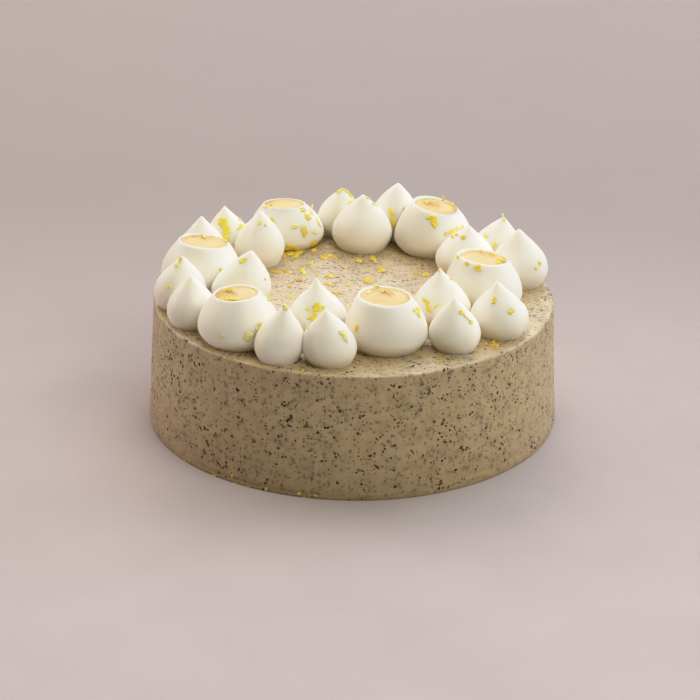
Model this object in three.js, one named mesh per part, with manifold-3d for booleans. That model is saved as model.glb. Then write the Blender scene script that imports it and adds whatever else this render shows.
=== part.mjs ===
// A round cake in tea-flecked buttercream, with a ring of piped cream on top: six wide dollops
// filled with lemon curd, and between each two of them three pointed kisses. Shreds of lemon
// zest lie over all of it.
// Millimetres, +Z up. The origin is the middle of the cake's foot. +X is to the right, and the
// front faces -Y.
import * as THREE from "three";
import { mergeVertices } from "three/addons/utils/BufferGeometryUtils.js";
import Module from "manifold-3d";

const wasm = await Module();
wasm.setup();

// Cake
const FOOT_RADIUS = 103.8;
const TOP_RADIUS = 100.7;
const CAKE_HEIGHT = 63.5;
const RIM_ROUNDING = 1.6;
const CAKE_SIDES = 72;
const WAVES = [{ lobes: 3, size: 0.3, start: 0.6 }, { lobes: 5, size: 0.18, start: 2.1 }];

// Piped cream. Shares are of a piece's own height, and BELLY is where it is widest.
const BELLY = 0.27;
const HEEL = 0.8;
const FILLED_TAPER = 0.95;
const LEVELS = [0, 0.12, 0.28, 0.46, 0.64, 0.8, 0.92];
const KISS_SIDES = 16;
const FILLED_SIDES = 24;
const CREAM_GAP = 0.4;

// The open mouth of a filled dollop, and the curd in it
const LIP_WIDTH = 1.2;
const LIP_DROP = 0.5;
const WELL_DEPTH = 6.5;
const WELL_NARROWING = 0.5;
const CURD_GAP = 0.3;
const CURD_EDGE_DROP = 0.8;
const CURD_CROWN = 0.5;
const CURD_PEAK = 2;
const CURD_LEVELS = [0.72, 0.28];

// Zest. Shares are of a piece's height, or of the mouth's radius on curd; turns are in radians.
const ZEST_WIDTH = 1.2;
const ZEST_STEPS = 2;
const ZEST_LENGTHS = [2.4, 5.4];
const ZEST_CLEARANCE = 1.2;
const ZEST_SEED = 20;
const ZEST_TRIES = 12;
const ZEST_CEILING = 0.95;
const ZEST_LIFT = 0.2;
const ZEST_SINK = 0.3;
const ZEST_CURL = 0.4;
const TOP_ZEST_SPACING = 15.5;
const TOP_ZEST_DRIFT = 0.2;
const CURD_ZEST_SHARES = [0.35, 0.6];
const CURD_ZEST_TURN = 0.35;
const GOLDEN_ANGLE = Math.PI * (3 - Math.sqrt(5));

const JOIN_DISTANCE = 1e-4;

const CREAM = { color: "#f1ecdc", roughness: 0.5, metalness: 0 };
const CURD = { color: "#f3d795", roughness: 0.35, metalness: 0 };
const BUTTERCREAM = { color: "#b9a07c", roughness: 0.6, metalness: 0 };

// The ring, in six sectors counted from the front left. x and y are the middle of a piece's
// foot, girth is its largest radius, and lean is how far its top drifts to the right. A taper
// of 1 draws in to a point with straight flanks, and less is fuller. A mouth is the radius of
// the opening, and it falls so many degrees to the right and to the back.
// zest says how many shreds a piece carries, round which compass angle they lie, how far to
// each side of it, and between which shares of the height.
const SECTORS = [
  {
    filled: {
      x: -54.8, y: -57.8, girth: 20.2, height: 24, lean: -1.6,
      mouth: 10.5, fallRight: -4, fallBack: 0, curdZest: 2,
      zest: { count: 5, round: -60, spread: 70, low: 0.25, high: 0.85 },
    },
    outer: [
      {
        x: -35.3, y: -80, girth: 12.1, height: 28.1, lean: 3.2, taper: 1.1,
        zest: { count: 2, round: -10, spread: 50, low: 0.5, high: 0.85 },
      },
      {
        x: -10.7, y: -81.5, girth: 13.4, height: 26.7, lean: -2.3, taper: 1.1,
        zest: { count: 2, round: -30, spread: 60, low: 0.4, high: 0.75 },
      },
    ],
    inner: {
      x: -17.3, y: -47.5, girth: 14.7, height: 28.2, lean: -0.6, taper: 1.3,
      zest: { count: 5, round: -105, spread: 40, low: 0.35, high: 0.7 },
    },
  },
  {
    filled: {
      x: 16.5, y: -61.1, girth: 20.1, height: 25.1, lean: -1.5,
      mouth: 12.4, fallRight: 4, fallBack: 0, curdZest: 1,
      zest: { count: 5, round: -40, spread: 150, low: 0.4, high: 0.85 },
    },
    outer: [
      {
        x: 49.3, y: -62.6, girth: 12.7, height: 26.1, lean: -0.9, taper: 1.15,
        zest: { count: 2, round: -60, spread: 40, low: 0.4, high: 0.75 },
      },
      {
        x: 71.8, y: -43.2, girth: 14.4, height: 26.9, lean: -2, taper: 1.1,
        zest: { count: 2, round: -80, spread: 50, low: 0.4, high: 0.75 },
      },
    ],
    inner: {
      x: 43.8, y: -31, girth: 14.5, height: 28, lean: -1.5, taper: 1.2,
      zest: { count: 5, round: -75, spread: 50, low: 0.35, high: 0.7 },
    },
  },
  {
    filled: {
      x: 65.4, y: -6.8, girth: 19.6, height: 24.7, lean: -1.2,
      mouth: 12.2, fallRight: 7, fallBack: 4, curdZest: 2,
      zest: { count: 5, round: -90, spread: 100, low: 0.6, high: 0.92 },
    },
    outer: [
      {
        x: 84.9, y: 22.4, girth: 14.4, height: 29, lean: -1.2, taper: 1,
        zest: { count: 2, round: -60, spread: 50, low: 0.3, high: 0.6 },
      },
      {
        x: 73, y: 51.5, girth: 13, height: 24.5, lean: 4.5, taper: 1,
        zest: { count: 2, round: -140, spread: 60, low: 0.5, high: 0.85 },
      },
    ],
    inner: {
      x: 57, y: 36.5, girth: 15.3, height: 25.4, lean: 2, taper: 1.1,
      zest: { count: 4, round: -125, spread: 50, low: 0.55, high: 0.85 },
    },
  },
  {
    filled: {
      x: 41.1, y: 68.2, girth: 20.2, height: 23.9, lean: 1.3,
      mouth: 11.6, fallRight: 11, fallBack: 0, curdZest: 1,
      zest: { count: 5, round: -80, spread: 60, low: 0.6, high: 0.9 },
    },
    outer: [
      {
        x: 20.8, y: 86.8, girth: 13.2, height: 29.2, lean: 2.2, taper: 0.88,
        zest: { count: 2, round: -80, spread: 50, low: 0.45, high: 0.75 },
      },
      {
        x: -9, y: 89.3, girth: 11.6, height: 25, lean: 2.6, taper: 0.85,
        zest: { count: 3, round: -50, spread: 60, low: 0.7, high: 0.88 },
      },
    ],
    inner: {
      x: 4.1, y: 69.6, girth: 15.7, height: 28.8, lean: 0.2, taper: 1,
      zest: { count: 2, round: -20, spread: 90, low: 0.5, high: 0.88 },
    },
  },
  {
    filled: {
      x: -35.2, y: 75.3, girth: 19.5, height: 20.8, lean: -2.2,
      mouth: 10.4, fallRight: 0, fallBack: 6, curdZest: 0,
      zest: { count: 9, round: -60, spread: 80, low: 0.15, high: 0.92 },
    },
    outer: [
      {
        x: -65.3, y: 58.8, girth: 12, height: 25.5, lean: -2.8, taper: 1.1,
        zest: { count: 5, round: -110, spread: 60, low: 0.5, high: 0.85 },
      },
      {
        x: -78.6, y: 41.5, girth: 12.4, height: 26, lean: -0.2, taper: 1.1,
        zest: { count: 2, round: -20, spread: 60, low: 0.5, high: 0.8 },
      },
    ],
    inner: {
      x: -49.2, y: 44.4, girth: 13, height: 28.2, lean: 0.8, taper: 1,
      zest: { count: 2, round: -90, spread: 60, low: 0.6, high: 0.85 },
    },
  },
  {
    filled: {
      x: -77.7, y: 12, girth: 20.4, height: 23.4, lean: 1.7,
      mouth: 12, fallRight: 6, fallBack: 4, curdZest: 1,
      zest: { count: 4, round: -30, spread: 80, low: 0.5, high: 0.9 },
    },
    outer: [
      {
        x: -86.6, y: -16.3, girth: 13, height: 26.4, lean: 1.6, taper: 1,
        zest: { count: 3, round: -120, spread: 70, low: 0.4, high: 0.85 },
      },
      {
        x: -78.6, y: -39.4, girth: 12.6, height: 25.6, lean: -0.9, taper: 1.05,
        zest: { count: 2, round: 40, spread: 50, low: 0.6, high: 0.85 },
      },
    ],
    inner: {
      x: -57, y: -13, girth: 14.8, height: 28.7, lean: 6, taper: 1,
      zest: { count: 3, round: -60, spread: 90, low: 0.5, high: 0.85 },
    },
  },
];

const PIECES = SECTORS.flatMap((sector, index) => [
  { name: `filled_dollop_${index + 1}`, ...sector.filled },
  { name: `kiss_${index + 1}_outer_a`, ...sector.outer[0] },
  { name: `kiss_${index + 1}_outer_b`, ...sector.outer[1] },
  { name: `kiss_${index + 1}_inner`, ...sector.inner },
]);

const radians = THREE.MathUtils.degToRad;
const between = THREE.MathUtils.lerp;

// Draws between 0 and 1 that come out the same on every run.
function makeDraw(seed) {
  let state = seed;
  return () => {
    state = (state * 16807) % 2147483647;
    return state / 2147483647;
  };
}

// A closed geometry as a solid, with its doubled points joined.
function toSolid(geometry) {
  const bare = geometry.index ? geometry.toNonIndexed() : geometry.clone();
  bare.deleteAttribute("normal");
  bare.deleteAttribute("uv");
  const merged = mergeVertices(bare, JOIN_DISTANCE);
  const index = merged.index.array;
  const triangles = [];
  for (let i = 0; i < index.length; i += 3) {
    const [a, b, c] = [index[i], index[i + 1], index[i + 2]];
    if (a !== b && b !== c && c !== a) triangles.push(a, b, c);
  }
  return new wasm.Manifold(new wasm.Mesh({
    numProp: 3,
    vertProperties: new Float32Array(merged.attributes.position.array),
    triVerts: new Uint32Array(triangles),
  }));
}

function toGeometry(solid) {
  const mesh = solid.getMesh();
  const geometry = new THREE.BufferGeometry();
  geometry.setAttribute("position", new THREE.BufferAttribute(mesh.vertProperties, 3));
  geometry.setIndex(new THREE.BufferAttribute(mesh.triVerts, 1));
  geometry.computeVertexNormals();
  return geometry;
}

// Turns an outline of [radius, height] pairs round the vertical axis.
function turn(outline, sides) {
  const points = outline.map(([radius, height]) => new THREE.Vector2(radius, height));
  return new THREE.LatheGeometry(points, sides).rotateX(Math.PI / 2);
}

function movePoints(geometry, move) {
  const position = geometry.attributes.position;
  const point = new THREE.Vector3();
  for (let i = 0; i < position.count; i += 1) {
    point.fromBufferAttribute(position, i);
    move(point);
    position.setXYZ(i, point.x, point.y, point.z);
  }
  return geometry;
}

// The radius of a piece of cream at a share of its height. It swells from its heel to its
// belly, and draws in from there to its point or its lip.
function creamRadius(piece, share) {
  if (share < BELLY) {
    return piece.girth * (HEEL + (1 - HEEL) * Math.sin((Math.PI / 2) * (share / BELLY)));
  }
  const left = (1 - share) / (1 - BELLY);
  const top = piece.mouth ? piece.mouth + LIP_WIDTH : 0;
  const taper = piece.taper ?? FILLED_TAPER;
  return top + (piece.girth - top) * Math.sin((Math.PI / 2) * left ** taper);
}

// Two pieces that touch are pressed flat on the upright plane between them. The planes of one
// piece face its neighbours, at `reach` from its own middle.
function contactPlanes(piece) {
  const planes = [];
  for (const other of PIECES) {
    const apart = Math.hypot(other.x - piece.x, other.y - piece.y);
    if (other.name !== piece.name && apart < piece.girth + other.girth + CREAM_GAP) {
      const middle = (apart ** 2 + piece.girth ** 2 - other.girth ** 2) / (2 * apart);
      planes.push({
        x: (other.x - piece.x) / apart,
        y: (other.y - piece.y) / apart,
        reach: middle - CREAM_GAP / 2,
      });
    }
  }
  return planes;
}

// Takes a point of the upright shape to its place on the cake: the mouth falls to one side,
// the top leans, and what would cross a neighbour is pressed back.
function settle(piece, point) {
  const share = Math.max(point.z, 0) / piece.height;
  const slopeX = Math.tan(radians(piece.fallRight ?? 0));
  const slopeY = Math.tan(radians(piece.fallBack ?? 0));
  point.z -= share ** 2 * (slopeX * point.x + slopeY * point.y);
  point.x += piece.lean * share ** 1.5;
  for (const plane of contactPlanes(piece)) {
    const over = point.x * plane.x + point.y * plane.y - plane.reach;
    if (over > 0) {
      point.x -= over * plane.x;
      point.y -= over * plane.y;
    }
  }
  point.x += piece.x;
  point.y += piece.y;
  point.z += CAKE_HEIGHT;
}

// A point for a shred to run through, a little under the surface of its piece.
function creamPoint(piece, angle, share) {
  const radius = creamRadius(piece, share) - ZEST_SINK;
  const point = new THREE.Vector3(
    radius * Math.cos(angle),
    radius * Math.sin(angle),
    share * piece.height,
  );
  settle(piece, point);
  return point;
}

function creamOutline(piece) {
  const side = LEVELS.map((share) => [creamRadius(piece, share), share * piece.height]);
  return [[0, 0], ...side];
}

function kissSolid(piece) {
  const outline = [...creamOutline(piece), [0, piece.height]];
  return toSolid(movePoints(turn(outline, KISS_SIDES), (point) => settle(piece, point)));
}

function filledSolid(piece) {
  const { mouth, height } = piece;
  const outline = [
    ...creamOutline(piece),
    [mouth + LIP_WIDTH, height - LIP_DROP],
    [mouth + LIP_WIDTH / 2, height],
    [mouth, height - LIP_DROP],
    [mouth - WELL_NARROWING, height - WELL_DEPTH],
    [0, height - WELL_DEPTH],
  ];
  return toSolid(movePoints(turn(outline, FILLED_SIDES), (point) => settle(piece, point)));
}

// The height of the curd's surface over the lip, at a share of the mouth's radius: a soft
// crown with a small peak where the bag was lifted off.
function curdHeight(share) {
  const crown = between(CURD_CROWN, -CURD_EDGE_DROP, share ** 2);
  return crown + (CURD_PEAK - CURD_CROWN) * Math.max(0, 1 - 4 * share) ** 2;
}

function curdPoint(piece, angle, share) {
  const radius = share * piece.mouth;
  const point = new THREE.Vector3(
    radius * Math.cos(angle),
    radius * Math.sin(angle),
    piece.height + curdHeight(share),
  );
  settle(piece, point);
  return point;
}

function curdSolid(piece) {
  const { mouth, height } = piece;
  const edge = mouth - WELL_NARROWING * (CURD_EDGE_DROP / WELL_DEPTH) - CURD_GAP;
  const surface = CURD_LEVELS.map((share) => [share * mouth, height + curdHeight(share)]);
  const outline = [
    [0, height - WELL_DEPTH + CURD_GAP],
    [mouth - WELL_NARROWING - CURD_GAP, height - WELL_DEPTH + CURD_GAP],
    [edge, height - CURD_EDGE_DROP],
    ...surface,
    [0, height + curdHeight(0)],
  ];
  return toSolid(movePoints(turn(outline, FILLED_SIDES), (point) => settle(piece, point)));
}

// A shred of zest: a strip along a curve through points on the surface, half sunk in it.
function shredSolid(points) {
  const half = ZEST_WIDTH / 2;
  const section = new THREE.Shape([
    new THREE.Vector2(-half, -half),
    new THREE.Vector2(half, -half),
    new THREE.Vector2(0, half),
  ]);
  const extrudePath = new THREE.CatmullRomCurve3(points);
  return toSolid(new THREE.ExtrudeGeometry(section, { steps: ZEST_STEPS, extrudePath }));
}

// Clear of every other piece of cream, and of the planes that it is pressed on.
function isClear(points, piece) {
  const room = ZEST_WIDTH + ZEST_CLEARANCE;
  return points.every((point) => {
    const free = PIECES.every((other) => {
      const apart = Math.hypot(point.x - other.x, point.y - other.y);
      return other.name === piece?.name || apart > other.girth + room;
    });
    const inside = !piece || contactPlanes(piece).every((plane) => {
      const out = (point.x - piece.x) * plane.x + (point.y - piece.y) * plane.y;
      return out < plane.reach - room;
    });
    return free && inside;
  });
}

// Spreads a piece's shreds over the side that carries them, by golden-angle steps.
function zestOn(piece, seed) {
  const { count, round, spread, low, high } = piece.zest;
  const draw = makeDraw(seed);
  const shreds = [];
  for (let step = 1; step <= ZEST_TRIES * count && shreds.length < count; step += 1) {
    const across = ((step * GOLDEN_ANGLE) / Math.PI) % 2 - 1;
    const angle = radians(round + spread * across);
    const share = between(low, high, draw());
    const heading = draw() * Math.PI;
    const reach = between(...ZEST_LENGTHS, draw()) / 2;
    const points = [-1, 0, 1].map((end) => creamPoint(
      piece,
      angle + (end * reach * Math.cos(heading)) / creamRadius(piece, share),
      Math.min(share + (end * reach * Math.sin(heading)) / piece.height, ZEST_CEILING),
    ));
    if (isClear(points, piece)) shreds.push(shredSolid(points));
  }
  return shreds;
}

function zestOnCurd(piece, seed) {
  const draw = makeDraw(seed);
  return Array.from({ length: piece.curdZest }, (_, step) => {
    const angle = step * GOLDEN_ANGLE + draw();
    const share = between(...CURD_ZEST_SHARES, draw());
    return shredSolid([-1, 0, 1].map(
      (end) => curdPoint(piece, angle + end * CURD_ZEST_TURN, share),
    ));
  });
}

// Spreads shreds evenly over the bare top of the cake, on a spiral of golden-angle steps.
function zestOnTop() {
  const draw = makeDraw(ZEST_SEED);
  const shreds = [];
  const limit = TOP_RADIUS - RIM_ROUNDING - ZEST_LENGTHS[1];
  const steps = (limit / TOP_ZEST_SPACING) ** 2 * Math.PI;
  for (let step = 0; step < steps; step += 1) {
    const radius = limit * Math.sqrt(step / steps);
    const angle = step * GOLDEN_ANGLE + between(-TOP_ZEST_DRIFT, TOP_ZEST_DRIFT, draw());
    const heading = draw() * Math.PI;
    const reach = between(...ZEST_LENGTHS, draw()) / 2;
    const points = [-1, 0, 1].map((end) => new THREE.Vector3(
      radius * Math.cos(angle) + end * reach * Math.cos(heading + ZEST_CURL * end),
      radius * Math.sin(angle) + end * reach * Math.sin(heading + ZEST_CURL * end),
      CAKE_HEIGHT + ZEST_LIFT * draw(),
    ));
    if (isClear(points)) shreds.push(shredSolid(points));
  }
  return shreds;
}

// The buttercreamed cake: slightly narrower at the top, its rim just rounded, its side a
// little uneven from the scraper.
function cakeSolid() {
  const rim = [0, 0.5, 1].map((share) => {
    const angle = (share * Math.PI) / 2;
    return [
      TOP_RADIUS - RIM_ROUNDING * (1 - Math.cos(angle)),
      CAKE_HEIGHT - RIM_ROUNDING * (1 - Math.sin(angle)),
    ];
  });
  const geometry = turn([[0, 0], [FOOT_RADIUS, 0], ...rim, [0, CAKE_HEIGHT]], CAKE_SIDES);
  return toSolid(movePoints(geometry, (point) => {
    const angle = Math.atan2(point.y, point.x);
    const swell = WAVES.map((wave) => wave.size * Math.sin(wave.lobes * angle + wave.start));
    const stretch = 1 + (swell[0] + swell[1]) / FOOT_RADIUS;
    point.x *= stretch;
    point.y *= stretch;
  }));
}

function fuse(body, shreds) {
  return shreds.reduce((whole, shred) => whole.add(shred), body);
}

function makeMesh(name, solid, finish) {
  const mesh = new THREE.Mesh(toGeometry(solid), new THREE.MeshStandardMaterial(finish));
  mesh.name = name;
  return mesh;
}

const group = new THREE.Group();
group.add(makeMesh("cake", fuse(cakeSolid(), zestOnTop()), BUTTERCREAM));

PIECES.forEach((piece, index) => {
  const body = piece.mouth ? filledSolid(piece) : kissSolid(piece);
  const shreds = zestOn(piece, ZEST_SEED + index + 1);
  group.add(makeMesh(piece.name, fuse(body, shreds), CREAM));
  if (piece.mouth) {
    const curd = fuse(curdSolid(piece), zestOnCurd(piece, ZEST_SEED + index + 1));
    group.add(makeMesh(piece.name.replace("filled_dollop", "lemon_curd"), curd, CURD));
  }
});

export default group;
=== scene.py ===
"""A lemon and earl grey cake: tea-flecked buttercream, a ring of piped cream, lemon curd and zest.

Everything is in metres, +Z up. The origin is the middle of the cake's foot and the front faces
-Y. Each piece of cream and each pool of curd takes its place and size from its node in the frame.
"""

import math
import random
from typing import NamedTuple

import bpy
import numpy as np
from mathutils import Matrix, Vector, noise
from mathutils.bvhtree import BVHTree


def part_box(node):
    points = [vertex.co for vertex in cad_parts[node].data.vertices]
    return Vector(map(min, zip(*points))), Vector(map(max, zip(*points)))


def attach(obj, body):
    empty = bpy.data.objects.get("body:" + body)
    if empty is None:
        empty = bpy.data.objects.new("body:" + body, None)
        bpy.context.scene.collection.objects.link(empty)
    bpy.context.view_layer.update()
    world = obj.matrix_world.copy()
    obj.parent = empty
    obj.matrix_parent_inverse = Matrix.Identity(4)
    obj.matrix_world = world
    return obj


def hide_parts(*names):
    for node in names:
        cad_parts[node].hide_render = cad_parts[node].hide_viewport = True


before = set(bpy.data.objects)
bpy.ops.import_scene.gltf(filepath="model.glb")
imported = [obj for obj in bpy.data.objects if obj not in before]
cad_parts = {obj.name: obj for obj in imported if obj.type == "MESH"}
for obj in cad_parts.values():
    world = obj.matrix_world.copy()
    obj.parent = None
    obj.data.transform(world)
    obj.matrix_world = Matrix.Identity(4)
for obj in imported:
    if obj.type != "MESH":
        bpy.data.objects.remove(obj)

bl_info = {
    "name": "Lemon earl grey cake",
    "version": (1, 0, 0),
    "blender": (4, 5, 0),
    "location": "View3D > Sidebar > Cake",
    "description": "Makes a piped buttercream cake round its solids",
    "category": "Add Mesh",
}

MM = 0.001
BODY = "root"

SECTORS = range(1, 7)
KISSES = [f"kiss_{sector}_{place}" for sector in SECTORS for place in ("outer_a", "outer_b", "inner")]
DOLLOPS = [f"filled_dollop_{sector}" for sector in SECTORS]
CAKE_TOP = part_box("kiss_1_outer_a")[0].z

# The camera of the photograph. Its picture is 700 pixels square, and pixels are counted from the
# top left. The middle of the picture looks at a point over the origin, where a pixel covers about
# half a millimetre.
PHOTO_SIZE = 700
PHOTO_PIXEL = 0.515
LENS = 134.51
SENSOR = 36.0
CAMERA_ELEVATION = math.radians(23.535)
CAMERA_ROLL = math.radians(0.949)
CAMERA_DISTANCE = 1346.2 * MM
AIM_RIGHT = -0.7 * MM
AIM_UP = 30.6 * MM

# Cream. Levels are shares of a piece's own height. It is widest at its belly, and its heel is a
# share of its girth.
BELLY = 0.27
HEEL = 0.8
FILLED_TAPER = 0.95
GIRTH_LEVEL = 0.28
TAPER_LEVEL = 0.64
LEAN_POWER = 1.5
MERGE_DEPTH = 0.03 * MM
FOOT_SINK = 0.4 * MM
BELLY_RINGS = 9
BELLY_STEP = 0.035
NIB_RINGS = 5
NIB_HOOK = 0.25
NIB_TIP = 0.2 * MM
DOLLOP_WOBBLE = 0.8

# How near to a level a solid's points count as lying at it, and how far the reaches of one ring
# may differ
FOOT_BAND = 0.05 * MM
RING_BAND = 0.15 * MM
REACH_SPREAD = 0.06 * MM

# The mouth of a filled dollop
LIP_WIDTH = 0.45 * MM
WELL_DEPTH = 6.5 * MM
WELL_NARROWING = 0.5 * MM
CURD_EDGE_DROP = 0.8 * MM
CURD_RING_GAP = 0.36 * MM
SHOULDER = 0.6 * MM
LIP_OUTSIDE = 0.45 * MM
LIP_INSIDE = 0.22 * MM
WALL_SLOPE = 1.5 * MM
WALL_DEPTH = 2.6 * MM
WELL_RINGS = (1.6 * MM, 2.2 * MM, 2.8 * MM, 4.5 * MM, WELL_DEPTH)
WELL_BOTTOM = (0.7, 0.4, 0.12)
# How deep under the lip the well's tint, curd stain with painted reflection of the curd, reaches full
# strength
WELL_TINT_DEPTH = 1.2 * MM

# Curd. It bites into the wall of its well, and its peak is a few millimetres wide.
CURD_BITE = 0.2 * MM
CURD_DEPTHS = (WELL_DEPTH - 0.4 * MM, WELL_DEPTH - 2 * MM)
CURD_RINGS = 32
CURD_SIDES = 96
CURD_UNEVEN = 0.3 * MM
CURD_TOP_BAND = 0.6 * MM
PEAK_WIDTH = 1.9 * MM

# Buttercream. Each level of its foot has a height and how far the coat stands out there. A shallow
# fold runs along the foot at the front left, and the coat's relief fades out below COAT_FADE.
FOOT_RADIUS = 103.8 * MM
TOP_RADIUS = 100.7 * MM
RIM_ROUNDING = 1.2 * MM
FOOT_LEVELS = ((0, -0.25), (0.5, 0.0), (1.0, 0.08), (1.6, 0.05), (2.1, -0.08), (2.7, -0.04), (3.4, 0))
CAKE_SIDES = 360
SIDE_RINGS = 38
RIM_RINGS = 6
TOP_RINGS = 56
FOLD_TURN = math.radians(-118)
FOLD_HEIGHT = 2.3 * MM
FOLD_WIDTH = 0.5 * MM
FOLD_DEPTH = 0.45 * MM
COAT_FADE = 4 * MM

# Tea. A clump is two to four scraps of leaf that lie about a millimetre apart. Lines that look for
# the cake's skin start WELL_CLEAR of it.
LEAF_PROUD = 0.09 * MM
RUSSET_SHARE = 0.45
CLUMP_SHARE = 0.22
CLUMP_STRAY = 1.3 * MM
WIDE_DRIFT = 28 * MM
SMALL_DRIFT = 8 * MM
TEA_MARGIN = 0.8 * MM
LOWEST_LEAF = 1.1 * MM
HIGHEST_LEAF = CAKE_TOP - 0.4 * MM
BUTTER_FILM = "#5F5347"
WELL_CLEAR = 10 * MM

# Zest. Lines of sight start SIGHT_GAP above the skin, so that they don't meet it at once.
SIGHT_GAP = 0.5 * MM
TOP_CANDIDATES = 90
TOP_MARGIN = 4 * MM
GOLDEN_ANGLE = math.pi * (3 - math.sqrt(5))
SHRED_RINGS = 6
SHRED_SIDES = 6
ZEST_ROOT = 0.5 * MM
ZEST_REACH = 3 * MM
DRIED = 0.3

# The studio. Soft boxes have a turn and an elevation in degrees, a power in watts and a colour.
FLOOR_WIDTH = 8
PAPER_MOTTLE = "#8F827B"
SOFT_BOX_DISTANCE = 2.4
SOFT_BOX_SIZE = 1.7
LIGHTS = (
    ("top", 0, 90, 7, "#FFF8F8"),
    ("back_high", 180, 60, 18, "#FFFFFF"),
    ("back_low", 180, 32, 19, "#FFFAFF"),
    ("back_right", 135, 42, 22, "#CFDDFF"),
    ("back_left", 225, 42, 16, "#FFF8FA"),
    ("front_right", 45, 45, 28, "#FBFFFC"),
    ("front", 0, 55, 3, "#FFFFE8"),
    ("right_low", 112, 15, 24, "#FFFFFF"),
    ("left_low", 252, 15, 22, "#FFEEE4"),
)


class Ring(NamedTuple):
    """One ring of a piped shape: its radius, its middle, and how far it falls to each side."""
    radius: float
    middle: Vector
    fall_right: float = 0.0
    fall_back: float = 0.0


class Cream(NamedTuple):
    """A piece of piped cream as its solid has it. A kiss has no mouth. The lower its taper, the
    fuller a piece is over its belly."""
    name: str
    foot: Vector
    girth: float
    height: float
    lean: float
    taper: float = FILLED_TAPER
    mouth: float = 0.0
    fall_right: float = 0.0
    fall_back: float = 0.0


class Pool(NamedTuple):
    """How curd fills a dollop. Its peak stands a share of the mouth's radius to the right and to
    the back, its edge lies `drop` millimetres under the lip, and it takes a share of the mouth's
    tilt. A flat one has no peak."""
    peak_right: float
    peak_back: float
    drop: float
    tilt: float
    flat: bool = False


POOLS = (
    Pool(-0.39, 0.0, 0.6, 0.6),
    Pool(-0.05, 0.15, 0.8, 0.6),
    Pool(-0.11, 0.33, 0.7, 0.7),
    Pool(-0.32, -0.05, 0.3, 0.65),
    Pool(0.1, 0.2, 0.3, 1.0, True),
    Pool(-0.16, 0.14, 0.5, 0.9),
)

# The tones of zest. What has dried on the buttercream is darker than these by DRIED.
PALE = 0.0
BRIGHT = 0.35
DEEP = 0.7


class Shred(NamedTuple):
    """A shred of zest where the photograph shows it. x and y are photograph pixels, length and
    width are millimetres, and turn is in degrees on the picture. One that stands has its root at
    that pixel, and the others lie with their middle there."""
    x: float
    y: float
    length: float
    turn: float
    tone: float
    width: float = 1.1
    stands: bool = False


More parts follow.
